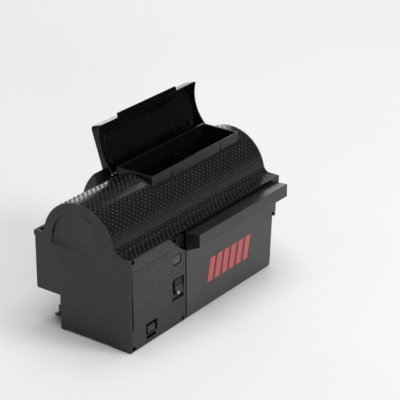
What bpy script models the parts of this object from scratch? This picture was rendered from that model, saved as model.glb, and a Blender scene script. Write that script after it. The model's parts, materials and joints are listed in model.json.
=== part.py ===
"""Electronic multi-catch mouse trap: an arched roof with a bait lid, a pull-out drawer and a control bay.

Shapes are drawn in housing coordinates: x runs from the left end, y from the front face to the rear and
z up from the floor. The finished objects are moved so that the origin lies under the middle of the box.
"""

import math

import bmesh
import bpy
from mathutils import Vector

MM = 0.001
GAP = 0.3 * MM
WALL = 2.4 * MM

# Housing
LENGTH = 290 * MM
BODY_DEPTH = 100.5 * MM
OVERHANG_DEPTH = 134.5 * MM
FLANGE_DEPTH = 136 * MM
OVERHANG_HEIGHT = 43 * MM
FLANGE_TOP = 114.5 * MM
FLANGE_BOTTOM = 108.2 * MM
RIM_BOTTOM = FLANGE_BOTTOM - GAP
END_PLATE = 3 * MM
FLOOR_BOTTOM = 1.6 * MM
FLOOR_TOP = 4 * MM
FOOT_RECESS = 1.3 * MM
BAY_WALL_X = 99.6 * MM
BAY_WALL_END = BAY_WALL_X + 2.8 * MM
CHANNEL_WALL_Y = 62 * MM
CHANNEL_WALL_END = CHANNEL_WALL_Y + 2.2 * MM
REAR_WALL = 3 * MM
STEP_HEIGHT = 64 * MM
LOWER_RIGHT = 277 * MM
FLOOR_RIGHT = 273 * MM
UPPER_RIGHT = 285 * MM

# Arched roof
BARREL_Y = 71 * MM
BARREL_Z = 112 * MM
BARREL_RADIUS = 50 * MM
FILLET = 9 * MM
ARC_STEPS = 40

# Raised frame round the bait opening, and the bait lid above it
FRAME_LEFT = 100 * MM
FRAME_RIGHT = 268.4 * MM
FRAME_FRONT = 45.2 * MM
FRAME_REAR = 97 * MM
FRAME_TOP = 166.2 * MM
FRAME_BOTTOM = 151 * MM
FRAME_GROOVES = (136 * MM, 231 * MM)
LID_LEFT = 97.3 * MM
LID_RIGHT = 281 * MM
LID_FRONT = 41.7 * MM
LID_REAR = 99.5 * MM
LID_TOP = 169 * MM
LID_THICKNESS = 2.2 * MM
LID_RIM_RADIUS = BARREL_RADIUS + 1.3 * MM
LID_OPEN_ANGLE = math.radians(108)
LID_HINGE = Vector((LENGTH / 2, 100.3 * MM, 156 * MM))
LID_PIN_RADIUS = 1.2 * MM
LID_CORNER = 4 * MM
TAB_LEFT = 131.5 * MM
TAB_RIGHT = 241.5 * MM
TAB_REACH = 5 * MM
HOOD_LEFT = 83 * MM
HOOD_RIGHT = 276.6 * MM
HOOD_RADIUS = 64.5 * MM

# Drawer
DRAWER_LEFT = 103.2 * MM
PANEL = 2.5 * MM
LIP_REACH = 19 * MM
LIP_LEFT = 102.6 * MM
LIP_RIGHT = 279.5 * MM
LIP_BOTTOM = 95.3 * MM
LIP_TOP = 111.3 * MM
LIP_ROOT = 86.5 * MM
CATCH = Vector((279.6 * MM, 0, 67.2 * MM))

# Control bay
ROCKER_PIVOT = Vector((89 * MM, 4.6 * MM, 47.6 * MM))
FLAP_HINGE = Vector((37.8 * MM, 1.3 * MM, 13 * MM))
BATTERY_HINGE = Vector((50 * MM, 133.4 * MM, 50.6 * MM))
PANEL_SCREWS = ((6.4, 110.2), (6.4, 4.4), (95.6, 4.6))
FLANGE_SCREWS = (9, 61, 281)

# Shock cradle and its drive
CRADLE_AXIS = Vector((190 * MM, 32 * MM, 86 * MM))
SHAFT_RADIUS = 2 * MM
GEAR_MODULE = 1.25 * MM
CRADLE_TEETH = 24
PINION_TEETH = 12
GEAR_LEFT = 105 * MM
GEAR_RIGHT = 110 * MM
CENTRE_DISTANCE = GEAR_MODULE * (CRADLE_TEETH + PINION_TEETH) / 2
PINION_DIRECTION = math.radians(45)
PINION_AXIS = CRADLE_AXIS + CENTRE_DISTANCE * Vector(
    (0, math.cos(PINION_DIRECTION), math.sin(PINION_DIRECTION))
)
DECK_BOTTOM = 68.5 * MM
DECK_TOP = 70.7 * MM

# Batteries: four C cells, two by two
CELL_RADIUS = 13.1 * MM
CELL_LENGTH = 50 * MM
CELL_PITCH = 27 * MM
CELL_LEFT = 24 * MM
FIRST_CELL = Vector((CELL_LEFT, 89.5 * MM, 62.5 * MM))

ORIGIN = Vector((LENGTH / 2, (FLANGE_DEPTH - LIP_REACH) / 2, 0))


def clear_scene():
    for obj in list(bpy.data.objects):
        bpy.data.objects.remove(obj, do_unlink=True)


def make_material(name, colour, roughness, metallic=0.0):
    material = bpy.data.materials.new(name)
    material.use_nodes = True
    shader = material.node_tree.nodes["Principled BSDF"]
    shader.inputs["Base Color"].default_value = (*colour, 1)
    shader.inputs["Roughness"].default_value = roughness
    shader.inputs["Metallic"].default_value = metallic
    return material


def make_materials():
    return {
        "roof": make_material("textured_black", (0.018, 0.019, 0.022), 0.38),
        "body": make_material("matte_black", (0.040, 0.040, 0.040), 0.55),
        "panel": make_material("fine_grain_black", (0.050, 0.050, 0.049), 0.55),
        "gloss": make_material("gloss_black", (0.010, 0.010, 0.011), 0.15),
        "steel": make_material("steel", (0.55, 0.55, 0.56), 0.30, 1.0),
        "brass": make_material("brass", (0.72, 0.52, 0.22), 0.30, 1.0),
        "rubber": make_material("rubber", (0.02, 0.02, 0.02), 0.80),
        "board": make_material("circuit_board", (0.02, 0.16, 0.06), 0.45),
        "lens": make_material("smoked_lens", (0.06, 0.02, 0.02), 0.12),
        "cell": make_material("cell_wrap", (0.05, 0.07, 0.12), 0.35),
        "gear": make_material("natural_acetal", (0.72, 0.70, 0.64), 0.45),
        "coil": make_material("winding_tape", (0.55, 0.36, 0.05), 0.50),
    }


def arc(centre, radius, start, end, steps):
    """Points round a centre, from one angle to another in degrees."""
    angles = [math.radians(start + (end - start) * i / steps) for i in range(steps + 1)]
    return [(centre[0] + radius * math.cos(a), centre[1] + radius * math.sin(a)) for a in angles]


def rectangle(left, right, bottom, top):
    return [(left, bottom), (right, bottom), (right, top), (left, top)]


def rounded_rectangle(left, right, bottom, top, radius, steps=4):
    corners = (
        ((right - radius, top - radius), 0),
        ((left + radius, top - radius), 90),
        ((left + radius, bottom + radius), 180),
        ((right - radius, bottom + radius), 270),
    )
    return [point for centre, turn in corners for point in arc(centre, radius, turn, turn + 90, steps)]


def circle(centre, radius, steps=24):
    return arc(centre, radius, 0, 360, steps)[:-1]


def prism(outline, axis, low, high):
    """A closed bmesh: the outline extruded along an axis. Its points are (y, z), (x, z) or (x, y)."""
    order = {"x": lambda a, b, d: (d, a, b), "y": lambda a, b, d: (a, d, b), "z": lambda a, b, d: (a, b, d)}
    shape = bmesh.new()
    base = shape.faces.new([shape.verts.new(order[axis](a, b, low)) for a, b in outline])
    grown = bmesh.ops.extrude_face_region(shape, geom=[base])
    shift = order[axis](0, 0, high - low)
    moved = [item for item in grown["geom"] if isinstance(item, bmesh.types.BMVert)]
    bmesh.ops.translate(shape, verts=moved, vec=shift)
    bmesh.ops.recalc_face_normals(shape, faces=shape.faces)
    return shape


def block(left, right, front, rear, bottom, top):
    return prism(rectangle(left, right, front, rear), "z", bottom, top)


def block_mm(*sides):
    return block(*(side * MM for side in sides))


def keep_below(shape, point, normal):
    """Cuts off what lies beyond a plane and closes the cut."""
    everything = shape.verts[:] + shape.edges[:] + shape.faces[:]
    bmesh.ops.bisect_plane(shape, geom=everything, plane_co=point, plane_no=normal, clear_outer=True)
    bmesh.ops.holes_fill(shape, edges=[edge for edge in shape.edges if edge.is_boundary])
    bmesh.ops.recalc_face_normals(shape, faces=shape.faces)
    return shape


def add_object(name, shape, material, pivot=ORIGIN):
    """Makes an object of a bmesh drawn in housing coordinates, with its origin at the pivot."""
    bmesh.ops.translate(shape, verts=shape.verts, vec=-pivot)
    mesh = bpy.data.meshes.new(name)
    shape.to_mesh(mesh)
    shape.free()
    mesh.shade_smooth()
    mesh.set_sharp_from_angle(angle=math.radians(32))
    mesh.materials.append(material)
    obj = bpy.data.objects.new(name, mesh)
    obj.location = pivot - ORIGIN
    bpy.context.scene.collection.objects.link(obj)
    return obj


def combine(obj, shape, operation):
    """Joins a bmesh to an object, or cuts it out, and keeps the result as the object's mesh."""
    tool = add_object("tool", shape, obj.data.materials[0])
    modifier = obj.modifiers.new("shape", "BOOLEAN")
    modifier.operation = operation
    modifier.solver = "EXACT"
    modifier.object = tool
    bpy.context.view_layer.update()
    graph = bpy.context.evaluated_depsgraph_get()
    old, result = obj.data, bpy.data.meshes.new_from_object(obj.evaluated_get(graph))
    obj.modifiers.clear()
    obj.data = result
    result.name = obj.name
    result.shade_smooth()
    result.set_sharp_from_angle(angle=math.radians(32))
    bpy.data.meshes.remove(old)
    bpy.data.objects.remove(tool, do_unlink=True)


def join(obj, *shapes):
    for shape in shapes:
        combine(obj, shape, "UNION")
    return obj


def carve(obj, *shapes):
    for shape in shapes:
        combine(obj, shape, "DIFFERENCE")
    return obj


def roof_line(offset, front, rear):
    """The roof's (y, z) line from the front flange over the barrel to the rear one, moved out by offset."""
    fillet_z = FLANGE_TOP + FILLET
    reach = math.sqrt((BARREL_RADIUS + FILLET) ** 2 - (fillet_z - BARREL_Z) ** 2)
    rise = math.degrees(math.atan2(fillet_z - BARREL_Z, reach))
    front_fillet = arc((BARREL_Y - reach, fillet_z), FILLET - offset, -90, -rise, 5)
    barrel = arc((BARREL_Y, BARREL_Z), BARREL_RADIUS + offset, 180 - rise, rise, ARC_STEPS)
    rear_fillet = arc((BARREL_Y + reach, fillet_z), FILLET - offset, 180 + rise, 270, 5)
    flange_z = FLANGE_TOP + offset
    return [(front, flange_z), *front_fillet, *barrel[1:-1], *rear_fillet, (rear, flange_z)]


def end_outline(lower_edge):
    """The (y, z) outline of an end of the housing above lower_edge, a list of points from rear to front."""
    rear_side = [(FLANGE_DEPTH, FLANGE_BOTTOM), (OVERHANG_DEPTH, FLANGE_BOTTOM)]
    return [*roof_line(0, 0, FLANGE_DEPTH), *rear_side, *lower_edge]


def make_left_end_plate(materials):
    foot_front, foot_rear = 26 * MM, 93 * MM
    lower_edge = [
        (OVERHANG_DEPTH, OVERHANG_HEIGHT),
        (BODY_DEPTH, OVERHANG_HEIGHT),
        (BODY_DEPTH, 0),
        (foot_rear, 0),
        (foot_rear, FOOT_RECESS),
        (foot_front, FOOT_RECESS),
        (foot_front, 0),
        (0, 0),
    ]
    plate = add_object("left_end_plate", prism(end_outline(lower_edge), "x", 0, END_PLATE), materials["body"])
    recess = prism(circle((BARREL_Y, BARREL_Z), 38 * MM, 48), "x", -1 * MM, 2.2 * MM)
    keep_below(recess, (0, 50 * MM, 0), (1, -0.04, 0))
    keep_below(recess, (0, 0, 104 * MM), (1, 0, -0.16))
    return carve(plate, recess)


def make_right_end_plate(materials):
    """The right end steps in below the flange and again at mid height."""
    shelf = FLANGE_BOTTOM - 6 * MM
    inner_upper, inner_lower = UPPER_RIGHT - END_PLATE, LOWER_RIGHT - END_PLATE
    arch = end_outline([(OVERHANG_DEPTH, shelf), (0, shelf)])
    plate = add_object("right_end_plate", prism(arch, "x", LENGTH - END_PLATE, LENGTH), materials["body"])
    section = [
        (inner_upper, shelf + END_PLATE),
        (inner_upper, STEP_HEIGHT + END_PLATE),
        (inner_lower, STEP_HEIGHT + END_PLATE),
        (FLOOR_RIGHT - END_PLATE, 0),
        (FLOOR_RIGHT, 0),
        (LOWER_RIGHT, STEP_HEIGHT),
        (UPPER_RIGHT, STEP_HEIGHT + 4 * MM),
        (UPPER_RIGHT, shelf),
        (LENGTH - 1 * MM, shelf),
        (LENGTH - 1 * MM, shelf + END_PLATE),
    ]
    front = PANEL + GAP
    join(plate, prism(section, "y", front, OVERHANG_DEPTH))
    boss = prism(circle((CATCH.x, CATCH.z), 3.6 * MM), "y", front, 12 * MM)
    join(plate, boss)
    under_overhang = block(260 * MM, LENGTH, BODY_DEPTH, FLANGE_DEPTH, -1 * MM, OVERHANG_HEIGHT)
    behind_drawer = block(260 * MM, LENGTH - END_PLATE, -1 * MM, front, -1 * MM, RIM_BOTTOM)
    catch_bore = prism(circle((CATCH.x, CATCH.z), 1.5 * MM), "y", -1 * MM, 9 * MM)
    return carve(plate, under_overhang, behind_drawer, catch_bore)


def make_base_shell(materials):
    left, front = END_PLATE + GAP, PANEL + GAP
    floor_right = FLOOR_RIGHT - END_PLATE - 2 * GAP
    wall_front = BODY_DEPTH - REAR_WALL
    upper_front = OVERHANG_DEPTH - REAR_WALL
    step_top = STEP_HEIGHT + END_PLATE + GAP
    shell = add_object(
        "base_shell",
        block(left, floor_right, front, BODY_DEPTH, FLOOR_BOTTOM, FLOOR_TOP),
        materials["body"],
    )
    rear_lower = rectangle(left, floor_right, FLOOR_BOTTOM, OVERHANG_HEIGHT + WALL)
    rear_upper = [
        (left, OVERHANG_HEIGHT),
        (272.2 * MM, OVERHANG_HEIGHT),
        (273.4 * MM, step_top),
        (281.6 * MM, step_top),
        (281.6 * MM, RIM_BOTTOM),
        (left, RIM_BOTTOM),
    ]
    join(
        shell,
        prism(rear_lower, "y", wall_front, BODY_DEPTH),
        block(left, 272 * MM, wall_front, OVERHANG_DEPTH, OVERHANG_HEIGHT, OVERHANG_HEIGHT + WALL),
        prism(rear_upper, "y", upper_front, OVERHANG_DEPTH),
        block(BAY_WALL_X, BAY_WALL_END, front, BODY_DEPTH - 1 * MM, FLOOR_BOTTOM, RIM_BOTTOM),
        block(left, 269 * MM, CHANNEL_WALL_Y, CHANNEL_WALL_END, FLOOR_BOTTOM, DECK_BOTTOM - GAP),
        block_mm(70, 101, 5, 8, 92, 107.9),
    )
    doorway = [
        (22 * MM, FLOOR_TOP),
        (62 * MM, FLOOR_TOP),
        *arc((42 * MM, 22 * MM), 20 * MM, 0, 180, 12)[:-1],
        (22 * MM, 22 * MM),
    ]
    shaft = prism(circle((CRADLE_AXIS.y, CRADLE_AXIS.z), SHAFT_RADIUS + GAP), "x", 90 * MM, 110 * MM)
    motor = prism(circle((PINION_AXIS.y, PINION_AXIS.z), 3.4 * MM), "x", 90 * MM, 110 * MM)
    screw = prism(circle((86 * MM, 104 * MM), 1.5 * MM), "y", 0, 12 * MM)
    return carve(
        shell,
        prism(doorway, "y", 90 * MM, 110 * MM),
        block(BAY_WALL_X - MM, BAY_WALL_END + MM, CHANNEL_WALL_END, wall_front, FLOOR_TOP, 66 * MM),
        block_mm(14, 86, 128, 140, 48.7, 103.5),
        shaft,
        motor,
        screw,
    )


def make_roof_cover(materials):
    left, right = END_PLATE + GAP, LENGTH - END_PLATE - GAP
    outer = roof_line(0, 0, FLANGE_DEPTH)
    inner = roof_line(-WALL, WALL, FLANGE_DEPTH - WALL)
    rear_lip = [(FLANGE_DEPTH, FLANGE_BOTTOM), (FLANGE_DEPTH - WALL, FLANGE_BOTTOM)]
    front_lip = [(WALL, FLANGE_BOTTOM), (0, FLANGE_BOTTOM)]
    profile = [*outer, *rear_lip, *reversed(inner), *front_lip]
    roof = add_object("roof_cover", prism(profile, "x", left, right), materials["roof"])
    join(roof, block(FRAME_LEFT, FRAME_RIGHT, FRAME_FRONT, FRAME_REAR, FRAME_BOTTOM, FRAME_TOP))
    for lug_left in (107, 186, 264):
        lug = [
            (FRAME_REAR - MM, 152 * MM),
            (LID_HINGE.y + 2 * MM, 149 * MM),
            (LID_HINGE.y + 3.4 * MM, LID_HINGE.z),
            (LID_HINGE.y + 2.4 * MM, LID_HINGE.z + 2.6 * MM),
            (FRAME_REAR - MM, LID_HINGE.z + 2.6 * MM),
        ]
        join(roof, prism(lug, "x", lug_left * MM, (lug_left + 4) * MM))
    carve(
        roof,
        block(
            FRAME_LEFT + WALL,
            FRAME_RIGHT - WALL,
            FRAME_FRONT + WALL,
            FRAME_REAR - WALL,
            140 * MM,
            FRAME_TOP + MM,
        ),
        block(0, DRAWER_LEFT - GAP, -MM, PANEL + GAP, 100 * MM, FLANGE_TOP - 1.2 * MM),
        prism(circle((LID_HINGE.y, LID_HINGE.z), LID_PIN_RADIUS + GAP, 16), "x", 103 * MM, 272 * MM),
    )
    for place in FLANGE_SCREWS:
        carve(roof, prism(circle((place * MM, 130 * MM), 1.5 * MM, 16), "z", 105 * MM, 118 * MM))
    for x in FRAME_GROOVES:
        groove = block(x, x + 0.9 * MM, FRAME_FRONT - MM, FRAME_FRONT + 0.8 * MM, 152 * MM, 163.6 * MM)
        carve(roof, groove)
    return roof


def make_rear_hood(materials):
    """A raised arch over the rear slope of the roof. Its front wall stands just behind the open lid."""
    lid_back = Vector((0, math.sin(LID_OPEN_ANGLE), math.cos(LID_OPEN_ANGLE)))
    stop = LID_HINGE + lid_back * (LID_TOP - LID_HINGE.z + 2 * GAP)

    def sector(radius, x_low, x_high, front_gap):
        start = -math.degrees(math.asin(6 * MM / radius))
        outline = [*arc((BARREL_Y, BARREL_Z), radius, start, 60, 20), (BARREL_Y, BARREL_Z)]
        return keep_below(prism(outline, "x", x_low, x_high), stop + lid_back * front_gap, -lid_back)

    hood = add_object("rear_hood", sector(HOOD_RADIUS, HOOD_LEFT, HOOD_RIGHT, 0), materials["roof"])
    cavity = sector(HOOD_RADIUS - WALL, HOOD_LEFT + WALL, HOOD_RIGHT - WALL, WALL)
    roof_skin = roof_line(GAP, -MM, FLANGE_DEPTH + 5 * MM)
    under_roof = prism([*roof_skin, (FLANGE_DEPTH + 5 * MM, 0), (-MM, 0)], "x", 0, LENGTH)
    return carve(hood, cavity, under_roof)


def make_lid(materials):
    """Drawn closed, level on top of the frame, then turned back to the open stop on its hinge."""
    corner = LID_FRONT + LID_CORNER
    outline = [
        (LID_LEFT, LID_REAR),
        *arc((LID_LEFT + LID_CORNER, corner), LID_CORNER, 180, 270, 5),
        *arc((LID_RIGHT - LID_CORNER, corner), LID_CORNER, 270, 360, 5),
        (LID_RIGHT, LID_REAR),
    ]
    lid = add_object("bait_lid", prism(outline, "z", 150 * MM, LID_TOP), materials["gloss"], LID_HINGE)
    for x_low in (LID_LEFT, LID_RIGHT - LID_THICKNESS):
        lug = [
            *arc((LID_HINGE.y, LID_HINGE.z), 2.6 * MM, -70, 40, 6),
            (LID_REAR, LID_TOP - MM),
            (LID_REAR - 8 * MM, LID_TOP - MM),
            (LID_REAR - 8 * MM, LID_HINGE.z),
        ]
        join(lid, prism(lug, "x", x_low, x_low + LID_THICKNESS))
    carve(
        lid,
        block(
            LID_LEFT + LID_THICKNESS,
            LID_RIGHT - LID_THICKNESS,
            LID_FRONT + LID_THICKNESS,
            LID_REAR + 5 * MM,
            140 * MM,
            LID_TOP - LID_THICKNESS,
        ),
        prism(circle((BARREL_Y, BARREL_Z), LID_RIM_RADIUS, 96), "x", LID_LEFT - MM, LID_RIGHT + MM),
        prism(circle((LID_HINGE.y, LID_HINGE.z), LID_PIN_RADIUS + GAP, 16), "x", 90 * MM, 285 * MM),
    )
    tab_bottom = 154.4 * MM
    seal = rounded_rectangle(112 * MM, 239 * MM, 55 * MM, 92 * MM, 8 * MM, 5)
    seal_inner = rounded_rectangle(113.8 * MM, 237.2 * MM, 56.8 * MM, 90.2 * MM, 6.2 * MM, 5)
    ring_low, ring_high = LID_TOP - LID_THICKNESS - 0.4 * MM, LID_TOP - MM
    join(
        lid,
        block(TAB_LEFT, TAB_RIGHT, LID_FRONT - TAB_REACH, LID_FRONT + MM, tab_bottom, tab_bottom + 2.4 * MM),
        prism(seal, "z", ring_low, ring_high),
    )
    carve(lid, prism(seal_inner, "z", ring_low - MM, LID_TOP - LID_THICKNESS))
    lid.rotation_euler.x = -LID_OPEN_ANGLE
    return lid


def make_hinge_pin(materials):
    pin = prism(circle((LID_HINGE.y, LID_HINGE.z), LID_PIN_RADIUS, 16), "x", LID_LEFT - MM, LID_RIGHT + MM)
    return add_object("lid_hinge_pin", pin, materials["steel"], LID_HINGE)


def make_bait_tray(materials):
    tray = add_object("bait_tray", block_mm(101, 267.4, 46.5, 96.4, 131, 150.6), materials["gloss"])
    cells = ((103, 199, 48.5, 94.4), (201, 265.4, 48.5, 94.4))
    for left, right, front, rear in cells:
        carve(tray, block_mm(left, right, front, rear, 133, 152))
    slots = [block_mm(x, x + 3, 56, 87, 130, 134) for x in range(116, 256, 20) if abs(x - 198) > 4]
    return carve(tray, *slots)


def make_front_panel(materials):
    left, right, bottom = END_PLATE + GAP, DRAWER_LEFT - 1.9 * MM, 1 * MM
    outline = [
        (left, bottom),
        (right, bottom),
        (right, 88 * MM),
        (95 * MM, 91.5 * MM),
        (71 * MM, FLANGE_TOP - 1.6 * MM),
        (left, FLANGE_TOP - 1.6 * MM),
    ]
    panel = add_object("control_panel", prism(outline, "y", 0, PANEL), materials["panel"])
    openings = (
        rectangle(76.5 * MM, 97.8 * MM, 32.5 * MM, 59.2 * MM),
        rounded_rectangle(77 * MM, 93 * MM, 76.4 * MM, 88.4 * MM, 2 * MM),
        rectangle(27.8 * MM, 48.2 * MM, 11.6 * MM, 25.4 * MM),
        rectangle(28.8 * MM, 45.6 * MM, 5.8 * MM, 10.4 * MM),
    )
    for outline in openings:
        carve(panel, prism(outline, "y", -MM, PANEL + MM))
    tapered_groove = [(4.0 * MM, 27.5 * MM), (6.6 * MM, 28.3 * MM), (4.6 * MM, 98 * MM), (4.2 * MM, 98 * MM)]
    crease = rectangle(9 * MM, 72 * MM, 97.6 * MM, 98.1 * MM)
    carve(panel, prism(tapered_groove, "y", -MM, 1.5 * MM), prism(crease, "y", -MM, 0.3 * MM))
    for x, z in PANEL_SCREWS:
        carve(
            panel,
            prism(circle((x * MM, z * MM), 1.5 * MM, 16), "y", -MM, PANEL + MM),
            prism(circle((x * MM, z * MM), 2.9 * MM, 20), "y", -MM, 0.9 * MM),
        )
    return panel


def make_screw(name, material, place, axis, head_radius, head_length, stem_length):
    """A cross-head screw: its head starts at the place and its stem runs on along the axis."""
    across, up, along = {"y": (0, 2, 1), "z": (0, 1, 2)}[axis]
    centre = (place[across], place[up])
    start = place[along]
    head = prism(circle(centre, head_radius, 20), axis, start, start + head_length)
    screw = add_object(name, head, material)
    if stem_length > 0:
        stem = prism(circle(centre, 1.2 * MM, 12), axis, start + head_length / 2, start + stem_length)
        face = start
    else:
        stem = prism(circle(centre, 1.2 * MM, 12), axis, start + stem_length, start + head_length / 2)
        face = start + head_length
    join(screw, stem)
    depth = 0.6 * MM
    for wide, tall in ((0.45, 1.6), (1.6, 0.45)):
        slot = rectangle(
            centre[0] - wide * MM, centre[0] + wide * MM, centre[1] - tall * MM, centre[1] + tall * MM
        )
        carve(screw, prism(slot, axis, face - depth, face + depth))
    return screw


def make_screws(materials):
    for number, (x, z) in enumerate(PANEL_SCREWS, start=1):
        place = (x * MM, 0.1 * MM, z * MM)
        make_screw(f"panel_screw_{number}", materials["steel"], place, "y", 2.5 * MM, 0.75 * MM, 2.3 * MM)
    corner = (86 * MM, 3.4 * MM, 104 * MM)
    make_screw("panel_screw_4", materials["steel"], corner, "y", 2.5 * MM, 1.2 * MM, 6 * MM)
    for number, x in enumerate(FLANGE_SCREWS, start=1):
        place = (x * MM, 130 * MM, FLANGE_TOP + GAP)
        make_screw(f"roof_screw_{number}", materials["gloss"], place, "z", 2.8 * MM, 1.8 * MM, -6 * MM)


def make_rocker_switch(materials):
    pivot = ROCKER_PIVOT
    bezel = add_object("switch_bezel", block_mm(75.5, 98.8, 2.8, 5.4, 31.5, 60.2), materials["panel"])
    carve(bezel, block_mm(82.2, 96.2, 1, 7, 37.9, 57.5))
    join(
        bezel,
        block_mm(82.2 - 1.6, 96.2 + 1.3, 4.2, 20, 36.3, 59.1),
    )
    carve(bezel, block_mm(82.2, 96.2, 1, 16, 37.9, 57.5))
    x_low, x_high = 82.6 * MM, 95.8 * MM
    half = 9.3 * MM
    crown = 26 * MM
    top = [
        (pivot.y - 3.9 * MM + (crown - math.sqrt(crown**2 - (half * t) ** 2)) * -0.9, pivot.z + half * t)
        for t in [i / 5 - 1 for i in range(11)]
    ]
    outline = [*top, (pivot.y + 3.2 * MM, pivot.z + 5 * MM), (pivot.y + 3.2 * MM, pivot.z - 5 * MM)]
    rocker = add_object("rocker", prism(outline, "x", x_low, x_high), materials["gloss"], pivot)
    carve(rocker, prism(circle((pivot.y, pivot.z), 1.3 * MM, 16), "x", 80 * MM, 98 * MM))
    rocker.rotation_euler.x = math.radians(-9)
    pin = prism(circle((pivot.y, pivot.z), 1 * MM, 16), "x", 82.5 * MM, 95.9 * MM)
    add_object("rocker_pin", pin, materials["steel"], pivot)
    return rocker


def make_indicator(materials):
    lens = add_object(
        "indicator_lens",
        prism(
            rounded_rectangle(78 * MM, 92 * MM, 77.4 * MM, 87.4 * MM, 1.4 * MM), "y", 0.5 * MM, 3 * MM
        ),
        materials["lens"],
    )
    join(lens, block_mm(75.6, 94.4, 2.8, 4.0, 75.2, 89.6))
    led = prism(circle((85 * MM, 82.4 * MM), 2.5 * MM, 16), "y", 5 * MM, 11.7 * MM)
    add_object("indicator_led", led, materials["lens"])


def make_adapter_inlet(materials):
    hinge = FLAP_HINGE
    socket = (hinge.x, 17.6 * MM)
    flap = add_object("inlet_flap", block_mm(31, 44.6, 0.3, 2.2, 13, 21.4), materials["panel"], hinge)
    join(flap, prism(circle((hinge.y, hinge.z), 1 * MM, 16), "x", 31 * MM, 44.6 * MM))
    inlet = add_object("adapter_inlet", block_mm(25.6, 50.4, 3.0, 14, 6, 27.4), materials["gloss"])
    carve(inlet, prism(circle(socket, 3.2 * MM, 20), "y", 0, 12 * MM))
    pin = add_object(
        "inlet_contact",
        prism(circle(socket, 1 * MM, 12), "y", 6 * MM, 11.7 * MM),
        materials["steel"],
    )
    return flap, inlet, pin


def make_drawer(materials):
    bottom = 0.8 * MM
    outline = [
        (DRAWER_LEFT, bottom),
        (FLOOR_RIGHT - 2 * MM, bottom),
        (FLOOR_RIGHT + 0.3 * MM, 3.6 * MM),
        (LOWER_RIGHT, STEP_HEIGHT),
        (UPPER_RIGHT - 0.7 * MM, 69.5 * MM),
        (UPPER_RIGHT, RIM_BOTTOM),
        (DRAWER_LEFT, RIM_BOTTOM),
    ]
    front = add_object("drawer_front", prism(outline, "y", 0, PANEL), materials["panel"])
    carve(front, prism(circle((CATCH.x, CATCH.z), 2.9 * MM), "y", -MM, PANEL + MM))
    lip = [
        (-LIP_REACH, LIP_BOTTOM),
        (1 * MM, LIP_ROOT),
        (1 * MM, RIM_BOTTOM - 0.5 * MM),
        (-0.4 * MM, RIM_BOTTOM - 0.5 * MM),
        (-0.4 * MM, LIP_TOP - 1.6 * MM),
        (-LIP_REACH, LIP_TOP),
    ]
    hollow = [
        (-LIP_REACH + WALL, LIP_BOTTOM - 12 * MM),
        (0, LIP_BOTTOM - 12 * MM),
        (0, LIP_TOP - 5 * MM),
        (-LIP_REACH + WALL, LIP_TOP - WALL),
    ]
    join(front, prism(lip, "x", LIP_LEFT, LIP_RIGHT))
    carve(front, prism(hollow, "x", LIP_LEFT + WALL, LIP_RIGHT - WALL))
    tray = add_object("drawer_tray", block_mm(106, 266, 2.8, 61, 4.7, 59), materials["body"])
    carve(tray, block_mm(108, 264, 4.8, 59, 6.7, 62))
    return front, tray


def make_drawer_catch(materials):
    head = prism(circle((CATCH.x, CATCH.z), 2.5 * MM, 20), "y", -1.2 * MM, 2.4 * MM)
    catch = add_object("drawer_catch", head, materials["gloss"])
    return join(catch, prism(circle((CATCH.x, CATCH.z), 1.2 * MM, 16), "y", 2 * MM, 8.5 * MM))


def make_entry_ramp(materials):
    profile = [(100.8, 1.4), (127.4, 1.4), (127.4, 3), (121, 5.8), (100.8, 5.8)]
    outline = [(y * MM, z * MM) for y, z in profile]
    ramp = add_object("entry_ramp", prism(outline, "x", 20 * MM, 64 * MM), materials["body"])
    return join(ramp, block_mm(20, 22, 100.8, 121, 4, 16), block_mm(62, 64, 100.8, 121, 4, 16))


def make_stairs(materials):
    steps, start, run, rise, thick = 8, 66 * MM, 17.5 * MM, 8 * MM, 2 * MM
    upper, lower = [(start, FLOOR_TOP + GAP)], []
    for i in range(steps):
        level = FLOOR_TOP + GAP + rise * (i + 1) - 0.4 * MM
        upper += [(start + run * i, level), (start + run * (i + 1), level)]
        lower += [(start + run * i + thick, level - rise if i else FLOOR_TOP + GAP)]
        lower += [(start + run * i + thick, level - thick)]
    end = upper[-1]
    outline = [*upper, (end[0], end[1] - thick), *reversed(lower)]
    cleaned = [point for i, point in enumerate(outline) if point != outline[i - 1]]
    stairs = prism(cleaned, "y", 64.6 * MM, 97.1 * MM)
    return add_object("stair_flight", stairs, materials["body"])


def make_deck(materials):
    deck = block(BAY_WALL_END + GAP, 281.4 * MM, 3.2 * MM, 131 * MM, DECK_BOTTOM, DECK_TOP)
    deck = add_object("deck_plate", deck, materials["body"])
    carve(
        deck,
        block_mm(100, 262, 7, 57, 60, 80),
        block_mm(140, 208, 66, 96, 60, 80),
        block_mm(275, 290, 0, 13, 60, 80),
    )
    post = [
        (24 * MM, 70 * MM),
        (40 * MM, 70 * MM),
        *arc((CRADLE_AXIS.y, CRADLE_AXIS.z), 6 * MM, 0, 180, 10),
    ]
    join(deck, prism(post, "x", 265 * MM, 268 * MM), block_mm(262.5, 268, 7.5, 56.5, 69, 71))
    bore = circle((CRADLE_AXIS.y, CRADLE_AXIS.z), SHAFT_RADIUS + GAP)
    return carve(deck, prism(bore, "x", 260 * MM, 275 * MM))


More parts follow.
